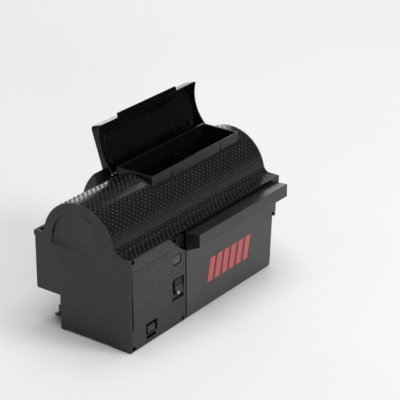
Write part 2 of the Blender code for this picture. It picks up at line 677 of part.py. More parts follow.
def make_cradle(materials):
    axis = CRADLE_AXIS
    left, right = 126 * MM, 258 * MM
    plate = block(left, right, 13 * MM, 51 * MM, 76 * MM, 78 * MM)
    cradle = add_object("shock_cradle", plate, materials["gloss"], axis)
    join(
        cradle,
        block(left, right, 13 * MM, 15 * MM, 76 * MM, 99 * MM),
        block(left, right, 49 * MM, 51 * MM, 76 * MM, 82 * MM),
    )
    for x_low in (left, right - 2.4 * MM):
        crest = arc((axis.y, axis.z), 6 * MM, 0, 180, 10)
        web = [(13 * MM, 76 * MM), (49 * MM, 76 * MM), *crest, (13 * MM, 84 * MM)]
        join(cradle, prism(web, "x", x_low, x_low + 2.4 * MM))
    bore = circle((axis.y, axis.z), SHAFT_RADIUS + GAP)
    carve(cradle, prism(bore, "x", left - MM, right + MM))
    for side, start, end in (("left", 98 * MM, 128.2 * MM), ("right", 255.8 * MM, 269 * MM)):
        pin = prism(circle((axis.y, axis.z), SHAFT_RADIUS, 16), "x", start, end)
        add_object(f"cradle_pin_{side}", pin, materials["steel"], axis)
    for number in range(3):
        start = 130 * MM + number * 42.5 * MM
        plate = block(start, start + 38.5 * MM, 17 * MM, 47 * MM, 78.3 * MM, 79.1 * MM)
        add_object(f"shock_plate_{number + 1}", plate, materials["steel"], axis)


def gear_outline(centre, teeth, first_tooth, backlash=0.45 * MM, pressure=math.radians(22.5)):
    """An involute gear with short teeth, one of them centred on the angle first_tooth."""
    pitch = GEAR_MODULE * teeth / 2
    base, root, tip = pitch * math.cos(pressure), pitch - 1.15 * GEAR_MODULE, pitch + 0.75 * GEAR_MODULE
    half = (math.pi * GEAR_MODULE / 2 - backlash) / 2 / pitch

    def flank(radius):
        unwound = math.acos(min(1, base / radius))
        at_pitch = math.tan(pressure) - pressure
        return half + at_pitch - (math.tan(unwound) - unwound)

    radii = [max(base, root) + (tip - max(base, root)) * i / 3 for i in range(4)]
    points = []
    for tooth in range(teeth):
        middle = first_tooth + 2 * math.pi * tooth / teeth
        low = [(root, middle - flank(radii[0]))] if root < base else []
        rising = [(radius, middle - flank(radius)) for radius in radii]
        falling = [(radius, 2 * middle - angle) for radius, angle in reversed(low + rising)]
        points += low + rising + falling
    return [(centre[0] + r * math.cos(a), centre[1] + r * math.sin(a)) for r, a in points]


def make_drive(materials):
    axis, pinion_axis = CRADLE_AXIS, PINION_AXIS
    wheel = gear_outline((axis.y, axis.z), CRADLE_TEETH, PINION_DIRECTION)
    gear = add_object("cradle_gear", prism(wheel, "x", GEAR_LEFT, GEAR_RIGHT), materials["gear"], axis)
    join(gear, prism(circle((axis.y, axis.z), 4.5 * MM), "x", GEAR_RIGHT - MM, 125.7 * MM))
    carve(gear, prism(circle((axis.y, axis.z), SHAFT_RADIUS + GAP), "x", 100 * MM, 130 * MM))
    facing = PINION_DIRECTION + math.pi + math.pi / PINION_TEETH
    small = gear_outline((pinion_axis.y, pinion_axis.z), PINION_TEETH, facing)
    toothed = prism(small, "x", GEAR_LEFT, GEAR_RIGHT)
    pinion = add_object("motor_pinion", toothed, materials["brass"], pinion_axis)
    join(pinion, prism(circle((pinion_axis.y, pinion_axis.z), 1.5 * MM, 16), "x", 94 * MM, GEAR_RIGHT + MM))
    centre = (pinion_axis.y, pinion_axis.z)
    can = prism(circle(centre, 12 * MM, 28), "x", 52 * MM, 84 * MM)
    motor = add_object("gear_motor", can, materials["steel"])
    gearbox = rounded_rectangle(
        centre[0] - 12 * MM, centre[0] + 12 * MM, centre[1] - 10 * MM, centre[1] + 10 * MM, 2 * MM
    )
    join(motor, prism(gearbox, "x", 83 * MM, 99.3 * MM))
    carve(motor, prism(circle(centre, 1.8 * MM, 16), "x", 92 * MM, 100 * MM))


def make_electronics(materials):
    add_object("circuit_board", block_mm(8, 96, 12, 13.6, 62, 88), materials["board"])
    transformer = add_object("high_voltage_transformer", block_mm(14, 40, 14, 34, 64, 86), materials["coil"])
    join(transformer, block_mm(18, 36, 18, 30, 60.5, 91))
    capacitor = prism(circle((56 * MM, 25 * MM), 8 * MM, 24), "z", 62 * MM, 88 * MM)
    add_object("storage_capacitor", capacitor, materials["gloss"])


def make_batteries(materials):
    holder = add_object("battery_holder", block_mm(14, 84, 73.5, 130.5, 46.5, 102), materials["body"])
    carve(holder, block_mm(16, 82, 75.5, 135, 48.5, 110))
    for row in range(2):
        for column in range(2):
            y = FIRST_CELL.y + CELL_PITCH * column
            z = FIRST_CELL.z + CELL_PITCH * row
            centre = (y, z)
            number = 1 + row * 2 + column
            can = prism(circle(centre, CELL_RADIUS, 28), "x", CELL_LEFT, CELL_LEFT + CELL_LENGTH)
            cell = add_object(f"battery_cell_{number}", can, materials["cell"])
            end = CELL_LEFT + CELL_LENGTH
            join(cell, prism(circle(centre, 3.3 * MM, 16), "x", end - MM, end + 1.6 * MM))
    for number in range(2):
        y = FIRST_CELL.y + CELL_PITCH * number
        end = Vector((16.8 * MM, y, FIRST_CELL.z))
        make_contact_spring(f"contact_spring_{number + 1}", end, materials["steel"])
    shape = block_mm(14.4, 85.6, 132.2, 134.5, 49.4, 103.1)
    door = add_object("battery_door", shape, materials["panel"], BATTERY_HINGE)
    carve(door, block_mm(42, 58, 133.6, 136, 96, 99))


def make_contact_spring(name, place, material):
    """A conical coil along x, pressed between the holder's wall and the cell."""
    turns, per_turn, length = 3, 12, 6.6 * MM
    curve = bpy.data.curves.new(name, "CURVE")
    curve.dimensions = "3D"
    curve.bevel_depth = 0.5 * MM
    curve.bevel_resolution = 1
    curve.use_fill_caps = True
    spline = curve.splines.new("POLY")
    spline.points.add(turns * per_turn)
    for i, point in enumerate(spline.points):
        turned = 2 * math.pi * i / per_turn
        along = i / (turns * per_turn)
        radius = (8 - 3.5 * along) * MM
        spot = Vector((length * along, radius * math.cos(turned), radius * math.sin(turned)))
        point.co = (*spot, 1)
    curve.materials.append(material)
    obj = bpy.data.objects.new(name, curve)
    obj.location = place - ORIGIN
    bpy.context.scene.collection.objects.link(obj)


def make_feet(materials):
    places = ((14, 12), (14, 88), (258, 12), (258, 88))
    for number, place in enumerate(places, start=1):
        centre = (place[0] * MM, place[1] * MM)
        foot = prism(circle(centre, 6 * MM, 20), "z", 0, FLOOR_BOTTOM - GAP)
        add_object(f"rubber_foot_{number}", foot, materials["rubber"])


def main():
    clear_scene()
    materials = make_materials()
    make_left_end_plate(materials)
    make_right_end_plate(materials)
    make_base_shell(materials)
    make_roof_cover(materials)
    make_rear_hood(materials)
    make_lid(materials)
    make_hinge_pin(materials)
    make_bait_tray(materials)
    make_front_panel(materials)
    make_screws(materials)
    make_rocker_switch(materials)
    make_indicator(materials)
    make_adapter_inlet(materials)
    make_drawer(materials)
    make_drawer_catch(materials)
    make_entry_ramp(materials)
    make_stairs(materials)
    make_deck(materials)
    make_cradle(materials)
    make_drive(materials)
    make_electronics(materials)
    make_batteries(materials)
    make_feet(materials)


main()
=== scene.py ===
"""The looks of an electronic multi-catch mouse trap: grained and polished black plastic on a pale floor."""

import json
import math

import bmesh
import bpy
from mathutils import Matrix, Vector


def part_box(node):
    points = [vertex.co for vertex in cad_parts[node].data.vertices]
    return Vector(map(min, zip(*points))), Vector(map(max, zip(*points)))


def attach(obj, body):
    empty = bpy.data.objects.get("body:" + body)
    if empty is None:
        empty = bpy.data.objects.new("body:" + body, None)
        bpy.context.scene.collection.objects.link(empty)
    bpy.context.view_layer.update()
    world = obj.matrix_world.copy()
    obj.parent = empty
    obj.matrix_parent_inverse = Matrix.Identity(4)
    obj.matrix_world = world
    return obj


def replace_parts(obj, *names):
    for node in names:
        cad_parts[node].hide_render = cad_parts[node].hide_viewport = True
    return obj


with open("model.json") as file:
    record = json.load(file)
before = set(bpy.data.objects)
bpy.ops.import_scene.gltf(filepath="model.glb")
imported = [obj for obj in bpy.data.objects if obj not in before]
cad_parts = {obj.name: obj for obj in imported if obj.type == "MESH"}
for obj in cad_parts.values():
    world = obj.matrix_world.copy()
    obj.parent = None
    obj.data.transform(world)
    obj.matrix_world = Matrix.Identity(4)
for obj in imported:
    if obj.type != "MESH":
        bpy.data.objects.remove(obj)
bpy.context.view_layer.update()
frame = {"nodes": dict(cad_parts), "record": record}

MM = 0.001

# The arched roof's line, in the frame's coordinates
BARREL_Y = 12.5 * MM
BARREL_Z = 112 * MM
BARREL_RADIUS = 50 * MM
FILLET = 9 * MM
FLANGE_TOP = 114.5 * MM

# Rows of raised drops on the roof
DROP_PITCH_X = 7.25 * MM
DROP_PITCH_ARC = 7.3 * MM
DROP_HALF_WIDTH = 0.95 * MM
DROP_HALF_LENGTH = 1.15 * MM
DROP_HEIGHT = 0.62 * MM
DROP_SIDES = 10
# Degrees up a drop's side at which its rings of points lie. The first is sunk in the roof.
DROP_CLIMBS = (-8, 28, 58)
# Length of roof line that the rows cover, from front to rear
ROOF_ARC = 190 * MM
# Plain margins that the drops keep
EDGE_MARGIN = 2.5 * MM
RIGHT_MARGIN = 2 * MM
FRAME_MARGIN = 3.4 * MM
HINGE_MARGIN = 9 * MM
HOOD_MARGIN = 1.5 * MM
SCREW_MARGIN = 5 * MM
# The hood covers the roof to the rear of this line, and the roof's screws sit below this level
HOOD_FRONT = 42 * MM
SCREW_LEVEL = 120 * MM

# The drawer's lip: where its slope starts, and how far it stands out from the face
LIP_ROOT = 86.5 * MM
LIP_REACH = 19 * MM
# Depth from the drawer's left end within which its faces count as the end
LEFT_END_DEPTH = 4 * MM

# The emblem on the drawer: a row of equal slanted bars, measured from the drawer's left end
BARS = 6
BAR_WIDTH = 9.5 * MM
BAR_HEIGHT = 29 * MM
BAR_PITCH = 14.2 * MM
BAR_LEAN = 0.22
EMBLEM_LEFT = 41 * MM
EMBLEM_BOTTOM = 30 * MM
# How far ink stands proud of a face, and how far it reaches into it
INK_PROUD = 0.06 * MM
INK_DEPTH = 0.3 * MM

# The printed ring, measured from the rocker's lower left corner
RING_X = 2.4 * MM
RING_Z = 3.0 * MM
RING_RADII = (1.9 * MM, 1.35 * MM)
# From inside the rocker to just proud of its face
RING_SPAN = (-0.4 * MM, 0.1 * MM)

# The lid: width of its plain border, and the bosses under it as they lie with the lid closed
LID_BORDER = 9 * MM
LID_UNDERSIDE = 166.9 * MM
BOSSES_X = (-36 * MM, 118 * MM)
BOSS_Y = 30 * MM
BOSS_RADII = (2.6 * MM, 1.3 * MM)
BOSS_HEIGHT = 3.5 * MM

# Radius of the rounded edges, and the nodes that have another
EDGE = 0.4 * MM
EDGES = {
    "control_panel": 0.12 * MM,
    "bait_lid": 0.6 * MM,
    "left_end_plate": 0.55 * MM,
    "drawer_front": 0.6 * MM,
}

# The floor: its flat middle, where its rim starts, and how high the rim curves
FLOOR_MIDDLE = 1.3
FLOOR_RADIUS = 2.8
FLOOR_RISE = 1.0
FLOOR_SIDES = 64
FLOOR_STEPS = 8

WORLD_STRENGTH = 0.22
LIGHT_TARGET = (0, 0, 0.08)

# Camera
CAMERA_PLACE = (-1.3843, -1.0592, 0.9006)
CAMERA_TILT = math.radians(65.83)
CAMERA_TURN = math.radians(-53.82)
CAMERA_LENS = 148.8


# Materials


class Nodes:
    """A short way to write node trees."""

    def __init__(self, name):
        self.material = bpy.data.materials.new(name)
        self.material.use_nodes = True
        self.tree = self.material.node_tree
        self.shader = self.tree.nodes["Principled BSDF"]

    def add(self, kind, inputs=None, **settings):
        node = self.tree.nodes.new(kind)
        for key, value in settings.items():
            setattr(node, key, value)
        for key, value in (inputs or {}).items():
            self.put(node.inputs[key], value)
        return node

    def put(self, socket, value):
        if isinstance(value, bpy.types.NodeSocket):
            self.tree.links.new(value, socket)
        elif isinstance(value, bpy.types.Node):
            self.tree.links.new(value.outputs[0], socket)
        else:
            socket.default_value = value

    def place(self):
        return self.add("ShaderNodeTexCoord").outputs["Object"]

    def noise(self, size, detail=2.0, roughness=0.5, stretch=(1, 1, 1)):
        """Smooth noise with lumps of about the given size in metres, from 0 to 1."""
        mapping = self.add("ShaderNodeMapping", {"Vector": self.place(), "Scale": stretch})
        inputs = {"Vector": mapping, "Scale": 1 / size, "Detail": detail, "Roughness": roughness}
        return self.add("ShaderNodeTexNoise", inputs).outputs["Fac"]

    def cells(self, size, feature="F1", randomness=1.0):
        inputs = {"Vector": self.place(), "Scale": 1 / size, "Randomness": randomness}
        return self.add("ShaderNodeTexVoronoi", inputs, feature=feature).outputs["Distance"]

    def math(self, operation, first, second):
        return self.add("ShaderNodeMath", {0: first, 1: second}, operation=operation).outputs[0]

    def spread(self, value, low, high, to_low, to_high):
        inputs = {"Value": value, "From Min": low, "From Max": high, "To Min": to_low, "To Max": to_high}
        return self.add("ShaderNodeMapRange", inputs).outputs["Result"]

    def mix(self, share, first, second):
        node = self.add("ShaderNodeMix", data_type="RGBA")
        self.put(node.inputs[0], share)
        self.put(node.inputs[6], first if isinstance(first, bpy.types.NodeSocket) else (*first, 1))
        self.put(node.inputs[7], second if isinstance(second, bpy.types.NodeSocket) else (*second, 1))
        return node.outputs[2]

    def edges(self, radius):
        """1 on sharp edges within the radius, 0 elsewhere, broken up by noise."""
        rounded = self.add("ShaderNodeBevel", {"Radius": radius}, samples=4)
        flat = self.add("ShaderNodeNewGeometry").outputs["Normal"]
        dot = self.add("ShaderNodeVectorMath", {0: rounded.outputs[0], 1: flat}, operation="DOT_PRODUCT")
        bare = self.spread(dot.outputs["Value"], 0.995, 0.86, 0, 1)
        return self.math("MULTIPLY", bare, self.spread(self.noise(6 * MM, 4), 0.35, 0.65, 0, 1))

    def bump(self, height, distance, normal=None):
        node = self.add("ShaderNodeBump", {"Height": height, "Distance": distance, "Strength": 1.0})
        if normal is not None:
            self.put(node.inputs["Normal"], normal)
        return node.outputs[0]


def plastic(
    name,
    colour,
    roughness,
    grain_size,
    grain_depth,
    pebble_sheen=0.05,
    wear=0.35,
    coat=0.0,
    specular=0.5,
):
    """Moulded plastic: pebble grain, faint flow marks and dust, edges gone paler with handling, and the
    tops of the pebbles painted paler as a painted sheen.
    """
    n = Nodes(name)
    pale = tuple(min(1, c * 1.3 + 0.001) for c in colour)
    dusty = tuple(min(1, c * 1.5 + 0.006) for c in colour)
    wear_and_sheen = tuple(min(1, c * 1.6 + 0.03) for c in colour)
    cloud = n.spread(n.noise(40 * MM, 3), 0.3, 0.7, 0, 0.7)
    dust = n.spread(n.noise(1.4 * MM, 2), 0.5, 0.8, 0, 0.5)
    tint = n.mix(dust, n.mix(cloud, colour, pale), dusty)
    edge = n.math("MULTIPLY", n.edges(0.7 * MM), wear)
    pebbles = n.spread(n.cells(grain_size, "SMOOTH_F1"), 0.0, 0.75, 1, 0)
    # Painted highlight: the tops of the pebbles are painted paler, towards the worn edge colour, as the
    # grain's sheen where it catches the light. The same amount also varies their specular level.
    lit_tops = n.math("MULTIPLY", n.spread(pebbles, 0.45, 0.8, 0, 1), pebble_sheen)
    n.put(n.shader.inputs["Base Color"], n.mix(edge, n.mix(lit_tops, tint, wear_and_sheen), wear_and_sheen))
    rubbed = n.spread(n.noise(18 * MM, 4), 0.3, 0.7, roughness - 0.05, roughness + 0.06)
    n.put(n.shader.inputs["Roughness"], n.math("SUBTRACT", rubbed, n.math("MULTIPLY", edge, 0.1)))
    waves = n.bump(n.noise(25 * MM, 1), 0.12 * MM)
    n.put(n.shader.inputs["Normal"], n.bump(pebbles, grain_depth, waves))
    shine = n.spread(pebbles, 0.3, 0.8, specular * (1 - pebble_sheen), specular * (1 + pebble_sheen / 2))
    n.put(n.shader.inputs["Specular IOR Level"], shine)
    n.shader.inputs["Coat Weight"].default_value = coat
    n.shader.inputs["Coat Roughness"].default_value = 0.12
    return n.material


def metal(name, colour, roughness, stretch):
    """Plated or turned metal with fine tool lines along the stretched axis."""
    n = Nodes(name)
    dull = tuple(c * 0.72 for c in colour)
    n.put(n.shader.inputs["Base Color"], n.mix(n.spread(n.noise(5 * MM, 4), 0.35, 0.7, 0, 1), colour, dull))
    n.shader.inputs["Metallic"].default_value = 1.0
    lines = n.noise(0.3 * MM, 2, 0.5, stretch)
    n.put(n.shader.inputs["Roughness"], n.spread(lines, 0.3, 0.7, roughness - 0.07, roughness + 0.1))
    n.put(n.shader.inputs["Normal"], n.bump(lines, 0.01 * MM))
    return n.material


def circuit_board():
    """Green solder mask over a grid of tracks, with round tinned pads."""
    n = Nodes("board_looks")
    black, white = (0, 0, 0, 1), (1, 1, 1, 1)
    inputs = {"Vector": n.place(), "Scale": 180.0, "Mortar Size": 0.03, "Color1": black, "Color2": black}
    tracks = n.add("ShaderNodeTexBrick", inputs)
    tracks.inputs["Mortar"].default_value = white
    pads = n.spread(n.cells(4.5 * MM), 0.10, 0.16, 1, 0)
    green = n.mix(tracks.outputs["Color"], (0.010, 0.075, 0.025), (0.025, 0.16, 0.06))
    n.put(n.shader.inputs["Base Color"], n.mix(pads, green, (0.65, 0.65, 0.62)))
    n.put(n.shader.inputs["Roughness"], n.spread(n.noise(8 * MM), 0.3, 0.7, 0.3, 0.45))
    n.put(n.shader.inputs["Normal"], n.bump(tracks.outputs["Color"], 0.05 * MM))
    return n.material


def banded_wrap(name, main, band, start, end):
    """A printed sleeve: one plain colour with a band of another between two places along X."""
    n = Nodes(name)
    split = n.add("ShaderNodeSeparateXYZ", {"Vector": n.place()})
    after = n.math("GREATER_THAN", split.outputs["X"], start)
    before = n.math("LESS_THAN", split.outputs["X"], end)
    scuffs = n.spread(n.noise(3 * MM, 5, 0.6, (1, 6, 6)), 0.62, 0.75, 0, 0.35)
    printed = n.mix(n.math("MULTIPLY", after, before), main, band)
    n.put(n.shader.inputs["Base Color"], n.mix(scuffs, printed, (0.35, 0.35, 0.34)))
    n.put(n.shader.inputs["Roughness"], n.spread(n.noise(10 * MM), 0.3, 0.7, 0.22, 0.36))
    n.put(n.shader.inputs["Normal"], n.bump(n.noise(9 * MM), 0.1 * MM))
    return n.material


def tape(name, colour):
    """Layers of winding tape."""
    n = Nodes(name)
    layers = n.noise(1.2 * MM, 1, 0.5, (1, 1, 0.02))
    dark = tuple(c * 0.6 for c in colour)
    n.put(n.shader.inputs["Base Color"], n.mix(n.spread(layers, 0.4, 0.6, 0, 0.6), colour, dark))
    n.put(n.shader.inputs["Roughness"], n.spread(n.noise(6 * MM), 0.3, 0.7, 0.35, 0.5))
    n.put(n.shader.inputs["Normal"], n.bump(layers, 0.15 * MM))
    return n.material


def paint(name, colour):
    """Pad-printed ink: slightly uneven, thin at specks where the grain shows through."""
    n = Nodes(name)
    thin = n.spread(n.noise(0.8 * MM, 3), 0.66, 0.78, 0, 0.5)
    uneven = n.mix(n.spread(n.noise(12 * MM, 2), 0.3, 0.7, 0, 1), colour, tuple(c * 0.86 for c in colour))
    n.put(n.shader.inputs["Base Color"], n.mix(thin, uneven, (0.10, 0.03, 0.03)))
    n.put(n.shader.inputs["Roughness"], n.spread(n.noise(5 * MM), 0.3, 0.7, 0.34, 0.46))
    n.put(n.shader.inputs["Normal"], n.bump(n.noise(0.9 * MM), 0.03 * MM))
    return n.material


def make_materials():
    """Every material by name. The drops are painted paler than the roof as a painted highlight, and the
    nearly black material is painted shade.
    """
    return {
        "roof": plastic(
            "roof_looks", (0.0036, 0.0041, 0.0054), 0.20, 0.8 * MM, 0.012 * MM, wear=0.2, specular=0.26
        ),
        # Painted highlight: the drops are the roof's plastic painted paler, so that they read as glinting
        # dots.
        "drop": plastic(
            "drop_highlight_looks", (0.0100, 0.0110, 0.0135), 0.26, 0.8 * MM, 0.012 * MM, wear=0.1, specular=0.45
        ),
        # Painted shade: a nearly black material laid on faces that stand in shadow.
        "painted_shade": plastic(
            "painted_shade_looks", (0.0008, 0.0008, 0.0008), 0.20, 5 * MM, 0.02 * MM, wear=0.12, specular=0.04
        ),
        "body": plastic("body_looks", (0.0060, 0.0060, 0.0062), 0.38, 1.9 * MM, 0.3 * MM, pebble_sheen=0.08),
        "panel": plastic("panel_looks", (0.0105, 0.0105, 0.0102), 0.36, 1.9 * MM, 0.3 * MM, pebble_sheen=0.2),
        "drawer": plastic("drawer_looks", (0.0320, 0.0320, 0.0316), 0.42, 0.6 * MM, 0.03 * MM),
        "frame": plastic("frame_looks", (0.0080, 0.0080, 0.0082), 0.36, 0.6 * MM, 0.02 * MM),
        "gloss": plastic(
            "gloss_looks", (0.0022, 0.0022, 0.0021), 0.16, 5 * MM, 0.02 * MM, wear=0.12, specular=0.28
        ),
        # Painted shade on the drawer's lip, darker than the drawer, on a glossier finish. The rocker's
        # lower half uses it as a painted highlight, paler than the switch.
        "lip": plastic("lip_looks", (0.0098, 0.0098, 0.0096), 0.30, 0.6 * MM, 0.02 * MM, wear=0.2),
        "lens": plastic("lens_looks", (0.010, 0.008, 0.008), 0.12, 5 * MM, 0.01 * MM, wear=0.1, coat=0.3),
        "switch": plastic(
            "switch_looks", (0.004, 0.004, 0.004), 0.22, 5 * MM, 0.01 * MM, wear=0.3, specular=0.2
        ),
        "screw": metal("screw_looks", (0.055, 0.055, 0.058), 0.34, (1, 8, 8)),
        "steel": metal("steel_looks", (0.60, 0.60, 0.61), 0.30, (1, 8, 8)),
        "can": metal("can_looks", (0.52, 0.52, 0.53), 0.32, (0.1, 4, 4)),
        "brass": metal("brass_looks", (0.72, 0.50, 0.20), 0.28, (1, 8, 8)),
        "rubber": plastic("rubber_looks", (0.014, 0.014, 0.014), 0.80, 0.5 * MM, 0.06 * MM, wear=0.5),
        "gear": plastic("gear_looks", (0.66, 0.64, 0.57), 0.42, 0.6 * MM, 0.01 * MM, wear=0.15),
        "board": circuit_board(),
        "cell": banded_wrap("cell_looks", (0.030, 0.045, 0.090), (0.42, 0.25, 0.06), -79 * MM, -73 * MM),
        "coil": tape("coil_looks", (0.50, 0.33, 0.06)),
        "ink": paint("ink_looks", (0.60, 0.075, 0.085)),
        "mark": paint("mark_looks", (0.70, 0.70, 0.68)),
    }


# Shapes


def new_piece(name, shape, material, body):
    """Makes a bmesh into a piece that moves with the body."""
    mesh = bpy.data.meshes.new(name)
    shape.to_mesh(mesh)
    shape.free()
    mesh.shade_smooth()
    mesh.set_sharp_from_angle(angle=math.radians(35))
    mesh.materials.append(material)
    piece = bpy.data.objects.new(name, mesh)
    bpy.context.scene.collection.objects.link(piece)
    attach(piece, body)
    return piece


def body_of(node):
    for body, nodes in frame["record"]["behaviour"]["bodies"].items():
        if node in nodes:
            return body
    return None


def slot_of(node):
    for part in frame["record"]["subparts"]:
        if part["node"] == node:
            return part["material_slot"]
    return None


def soften(piece, width):
    """Rounds the piece's sharp edges."""
    modifier = piece.modifiers.new("rounded_edges", "BEVEL")
    modifier.width = width
    modifier.segments = 2
    modifier.limit_method = "ANGLE"
    modifier.angle_limit = math.radians(32)
    modifier.use_clamp_overlap = False
    modifier.harden_normals = True
    return piece


def refined(node, material, width):
    """A copy of a CAD node with rounded edges, which is shown in its place."""
    shape = bmesh.new()
    shape.from_mesh(frame["nodes"][node].data)
    bmesh.ops.remove_doubles(shape, verts=shape.verts, dist=1e-6)
    bmesh.ops.dissolve_limit(
        shape,
        angle_limit=math.radians(0.3),
        verts=shape.verts,
        edges=shape.edges,
        use_dissolve_boundaries=False,
    )
    piece = new_piece(node + "_moulded", shape, material, body_of(node))
    soften(piece, width)
    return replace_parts(piece, node)


def roof_point(arc):
    """The place and outward normal on the roof's line, arc metres to the rear of the crown."""
    fillet_z = FLANGE_TOP + FILLET
    reach = math.sqrt((BARREL_RADIUS + FILLET) ** 2 - (fillet_z - BARREL_Z) ** 2)
    rise = math.atan2(fillet_z - BARREL_Z, reach)
    barrel_arc = BARREL_RADIUS * (math.pi / 2 - rise)
    fillet_arc = FILLET * (math.pi / 2 - rise)
    side, along = (1, arc) if arc >= 0 else (-1, -arc)
    if along <= barrel_arc:
        turn = along / BARREL_RADIUS
        normal = Vector((0, side * math.sin(turn), math.cos(turn)))
        return Vector((0, BARREL_Y, BARREL_Z)) + normal * BARREL_RADIUS, normal
    if along <= barrel_arc + fillet_arc:
        turn = math.pi / 2 - rise - (along - barrel_arc) / FILLET
        normal = Vector((0, side * math.sin(turn), math.cos(turn)))
        return Vector((0, BARREL_Y + side * reach, fillet_z)) - normal * FILLET, normal
    flat = reach + along - barrel_arc - fillet_arc
    return Vector((0, BARREL_Y + side * flat, FLANGE_TOP)), Vector((0, 0, 1))


def add_drop(shape, centre, normal):
    """A low rounded drop, a little longer round the roof than along it."""
    along = Vector((1, 0, 0)) * DROP_HALF_WIDTH
    up = normal.cross(Vector((1, 0, 0))) * DROP_HALF_LENGTH
    rings = []
    turns = [2 * math.pi * i / DROP_SIDES for i in range(DROP_SIDES)]
    for climb in DROP_CLIMBS:
        size = math.cos(math.radians(climb))
        foot = centre + normal * (math.sin(math.radians(climb)) * DROP_HEIGHT)
        points = [foot + (along * math.cos(turn) + up * math.sin(turn)) * size for turn in turns]
        rings.append([shape.verts.new(point) for point in points])
    top = shape.verts.new(centre + normal * DROP_HEIGHT)
    for i in range(DROP_SIDES):
        j = (i + 1) % DROP_SIDES
        for lower, upper in zip(rings, rings[1:]):
            shape.faces.new((lower[i], lower[j], upper[j], upper[i]))
        shape.faces.new((rings[-1][i], rings[-1][j], top))
    shape.faces.new(rings[0][::-1])


def roof_drops(material):
    """The rows of drops over the whole roof, left out under the bait frame, the hood and the screws."""
    roof_low, roof_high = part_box("roof_cover")
    tray_low, tray_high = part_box("bait_tray")
    hood_low, hood_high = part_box("rear_hood")
    screws = [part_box(f"roof_screw_{i}") for i in (1, 2, 3)]
    shape = bmesh.new()
    rows = int(ROOF_ARC / DROP_PITCH_ARC)
    columns = int((roof_high.x - roof_low.x) / (DROP_PITCH_X / 2))
    for row in range(-rows, rows + 1):
        arc = row * DROP_PITCH_ARC / 2
        place, normal = roof_point(arc)
        if not roof_low.y + EDGE_MARGIN < place.y < roof_high.y - EDGE_MARGIN:
            continue
        for column in range(columns + 1):
            if (row + column) % 2:
                continue
            x = roof_low.x + EDGE_MARGIN + column * DROP_PITCH_X / 2
            if x > roof_high.x - RIGHT_MARGIN:
                continue
            on_frame = tray_low.x - FRAME_MARGIN < x < tray_high.x + FRAME_MARGIN and (
                tray_low.y - FRAME_MARGIN < place.y < tray_high.y + HINGE_MARGIN
            )
            in_hood = hood_low.x - HOOD_MARGIN < x < hood_high.x + HOOD_MARGIN and place.y > HOOD_FRONT
            on_screw = any(
                (x - (low.x + high.x) / 2) ** 2 + (place.y - (low.y + high.y) / 2) ** 2 < SCREW_MARGIN**2
                for low, high in screws
            )
            if on_frame or in_hood or (on_screw and place.z < SCREW_LEVEL):
                continue
            add_drop(shape, Vector((x, place.y, place.z)), normal)
    bmesh.ops.recalc_face_normals(shape, faces=shape.faces)
    piece = new_piece("roof_drops", shape, material, "housing")
    piece.data.shade_smooth()
    return piece


def add_prism(shape, outline, front, back):
    """Adds a prism from one place along Y to another. The outline's points are (x, z)."""
    base = shape.faces.new([shape.verts.new((x, front, z)) for x, z in outline])
    grown = bmesh.ops.extrude_face_region(shape, geom=[base])
    moved = [item for item in grown["geom"] if isinstance(item, bmesh.types.BMVert)]
    bmesh.ops.translate(shape, verts=moved, vec=(0, back - front, 0))
    bmesh.ops.recalc_face_normals(shape, faces=shape.faces)


def drawer_mark(material):
    """A plain printed emblem of equal slanted bars."""
    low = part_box("drawer_front")[0]
    face = low.y + LIP_REACH
    top = EMBLEM_BOTTOM + BAR_HEIGHT
    lean = BAR_LEAN * BAR_HEIGHT
    shape = bmesh.new()
    for number in range(BARS):
        start = low.x + EMBLEM_LEFT + number * BAR_PITCH
        outline = [
            (start, EMBLEM_BOTTOM),
            (start + BAR_WIDTH, EMBLEM_BOTTOM),
            (start + BAR_WIDTH + lean, top),
            (start + lean, top),
        ]
        add_prism(shape, outline, face - INK_PROUD, face + INK_DEPTH)
    return new_piece("drawer_emblem", shape, material, "drawer")


def ring_mark(material):
    """The printed ring on the rocker's lower half."""
    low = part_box("rocker")[0]
    place = Matrix.Translation((low.x + RING_X, low.y, low.z + RING_Z))
    shape = bmesh.new()
    add_tube(shape, (0, 0), RING_RADII, *RING_SPAN, 24)
    bmesh.ops.transform(shape, matrix=place @ Matrix.Rotation(math.pi / 2, 4, "X"), verts=shape.verts)
    return new_piece("rocker_mark", shape, material, "rocker")


def recolour_faces(node, material, chosen):
    """Gives the chosen faces of a piece a second material. Below, this paints light and shade onto faces.
    """
    mesh = bpy.data.objects[node + "_moulded"].data
    mesh.materials.append(material)
    for face in mesh.polygons:
        if chosen(face.center, face.normal):
            face.material_index = len(mesh.materials) - 1


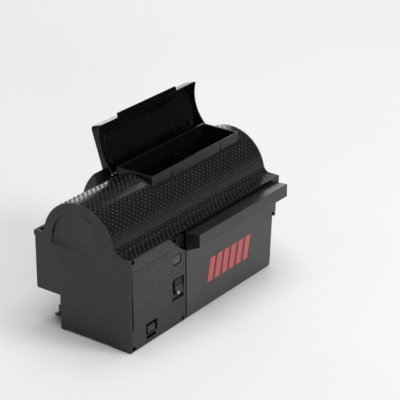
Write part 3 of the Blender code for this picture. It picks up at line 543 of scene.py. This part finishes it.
def painted_light_and_shade(looks):
    """Paints light and shade onto some faces with a second material.

    The drawer's lip is painted darker as painted shade, on a glossier finish, and the rocker's lower half
    is painted paler as a painted highlight. The drawer's left end, the lid's inside and the recess wall in
    the left end plate are painted shade, nearly black.
    """
    lid_low, lid_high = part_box("bait_lid")
    drawer_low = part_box("drawer_front")[0]
    rocker_low, rocker_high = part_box("rocker")
    rocker_middle = (rocker_low.z + rocker_high.z) / 2

    def on_lip(centre, normal):
        return centre.z > LIP_ROOT

    def on_left_end(centre, normal):
        return centre.z < LIP_ROOT and centre.x < drawer_low.x + LEFT_END_DEPTH and normal.x < -0.7

    def in_lid(centre, normal):
        return lid_low.x + LID_BORDER < centre.x < lid_high.x - LID_BORDER and normal.y < -0.3

    def on_recess_wall(centre, normal):
        return centre.y > 0 and normal.y < -0.3 and normal.x > -0.7

    def on_lower_half(centre, normal):
        return centre.z < rocker_middle

    # Painted shade: the lip is painted darker than the drawer face.
    recolour_faces("drawer_front", looks["lip"], on_lip)
    # Painted shade: nearly black on the drawer's left end, inside the lid and on the recess wall.
    recolour_faces("drawer_front", looks["painted_shade"], on_left_end)
    recolour_faces("bait_lid", looks["painted_shade"], in_lid)
    recolour_faces("left_end_plate", looks["painted_shade"], on_recess_wall)
    # Painted highlight: the rocker's lower half is painted paler than its upper half.
    recolour_faces("rocker", looks["lip"], on_lower_half)


def lid_bosses(material):
    """Two hollow bosses under the lid, drawn with the lid closed and turned with it to its rest place."""
    joint = next(j for j in frame["record"]["behaviour"]["joints"] if j["name"] == "lid_hinge")
    hinge = Matrix.Translation(Vector(joint["pos_m"]))
    opened = hinge @ Matrix.Rotation(-math.radians(joint["range_deg"][1]), 4, "X") @ hinge.inverted()
    shape = bmesh.new()
    for x in BOSSES_X:
        add_tube(shape, (x, BOSS_Y), BOSS_RADII, LID_UNDERSIDE, LID_UNDERSIDE - BOSS_HEIGHT, 20)
    bmesh.ops.transform(shape, matrix=opened, verts=shape.verts)
    return soften(new_piece("lid_bosses", shape, material, "lid"), 0.25 * MM)


def add_tube(shape, centre, radii, low, high, steps):
    """Adds a short upright tube, open through its middle."""
    rings = []
    turns = [2 * math.pi * i / steps for i in range(steps)]
    for radius, z in ((radii[0], low), (radii[0], high), (radii[1], high), (radii[1], low)):
        ring = [(centre[0] + radius * math.cos(t), centre[1] + radius * math.sin(t), z) for t in turns]
        rings.append([shape.verts.new(point) for point in ring])
    for first, second in zip(rings, rings[1:] + rings[:1]):
        for i in range(steps):
            j = (i + 1) % steps
            shape.faces.new((first[i], first[j], second[j], second[i]))
    bmesh.ops.recalc_face_normals(shape, faces=shape.faces)


# Scene


def make_floor():
    """A wide round floor that curves up at its rim."""
    profile = [(FLOOR_MIDDLE, 0.0), (FLOOR_RADIUS, 0.0)]
    for step in range(1, FLOOR_STEPS + 1):
        angle = math.pi / 2 * step / FLOOR_STEPS
        profile.append((FLOOR_RADIUS + FLOOR_RISE * math.sin(angle), FLOOR_RISE * (1 - math.cos(angle))))
    shape = bmesh.new()
    rings = []
    turns = [2 * math.pi * i / FLOOR_SIDES for i in range(FLOOR_SIDES)]
    for reach, height in profile:
        points = [(reach * math.cos(turn), reach * math.sin(turn), height) for turn in turns]
        rings.append([shape.verts.new(point) for point in points])
    shape.faces.new(rings[0])
    for lower, upper in zip(rings, rings[1:]):
        for i in range(FLOOR_SIDES):
            j = (i + 1) % FLOOR_SIDES
            shape.faces.new((lower[j], lower[i], upper[i], upper[j]))
    mesh = bpy.data.meshes.new("floor")
    shape.to_mesh(mesh)
    shape.free()
    mesh.shade_smooth()
    n = Nodes("floor_looks")
    tone = n.mix(n.spread(n.noise(0.5, 3), 0.3, 0.7, 0, 1), (0.84, 0.84, 0.84), (0.86, 0.86, 0.86))
    n.put(n.shader.inputs["Base Color"], tone)
    n.shader.inputs["Roughness"].default_value = 0.9
    mesh.materials.append(n.material)
    floor = bpy.data.objects.new("floor", mesh)
    bpy.context.scene.collection.objects.link(floor)


def add_light(name, place, size, power):
    """A rectangular light in metres and watts, turned towards the object."""
    light = bpy.data.lights.new(name, "AREA")
    light.shape = "RECTANGLE"
    light.size, light.size_y = size
    light.energy = power
    obj = bpy.data.objects.new(name, light)
    obj.location = place
    obj.rotation_euler = (Vector(LIGHT_TARGET) - Vector(place)).to_track_quat("-Z", "Y").to_euler()
    bpy.context.scene.collection.objects.link(obj)


def make_studio():
    """The floor, a dim pale world, four soft lights and the camera."""
    make_floor()
    world = bpy.data.worlds.new("studio")
    world.use_nodes = True
    world.node_tree.nodes["Background"].inputs["Color"].default_value = (1, 1, 1, 1)
    world.node_tree.nodes["Background"].inputs["Strength"].default_value = WORLD_STRENGTH
    bpy.context.scene.world = world
    add_light("key", (0.8, -2.6, 2.0), (1.1, 1.1), 34)
    add_light("top", (0.2, -0.1, 2.8), (2.4, 2.4), 56)
    add_light("rim", (1.9, 1.5, 0.6), (1.8, 1.0), 10.5)
    add_light("fill", (-1.9, -2.2, 0.95), (0.45, 0.45), 10)
    bpy.context.scene.view_settings.view_transform = "Standard"
    data = bpy.data.cameras.new("camera")
    data.sensor_width = 36
    data.lens = CAMERA_LENS
    camera = bpy.data.objects.new("camera", data)
    camera.location = CAMERA_PLACE
    camera.rotation_euler = (CAMERA_TILT, 0, CAMERA_TURN)
    bpy.context.scene.collection.objects.link(camera)
    bpy.context.scene.camera = camera


def main():
    looks = make_materials()
    special = {
        "roof_cover": "roof",
        "rear_hood": "frame",
        "drawer_front": "drawer",
        "gear_motor": "can",
        "rocker": "switch",
    }
    for node in frame["nodes"]:
        look = looks["screw" if "screw" in node else special.get(node, slot_of(node))]
        refined(node, look, EDGES.get(node, EDGE))
    # Paints light and shade onto chosen faces.
    painted_light_and_shade(looks)
    lid_bosses(looks["gloss"])
    # The drops get a paler material as a painted highlight.
    roof_drops(looks["drop"])
    drawer_mark(looks["ink"])
    ring_mark(looks["mark"])
    make_studio()
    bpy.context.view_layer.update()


main()
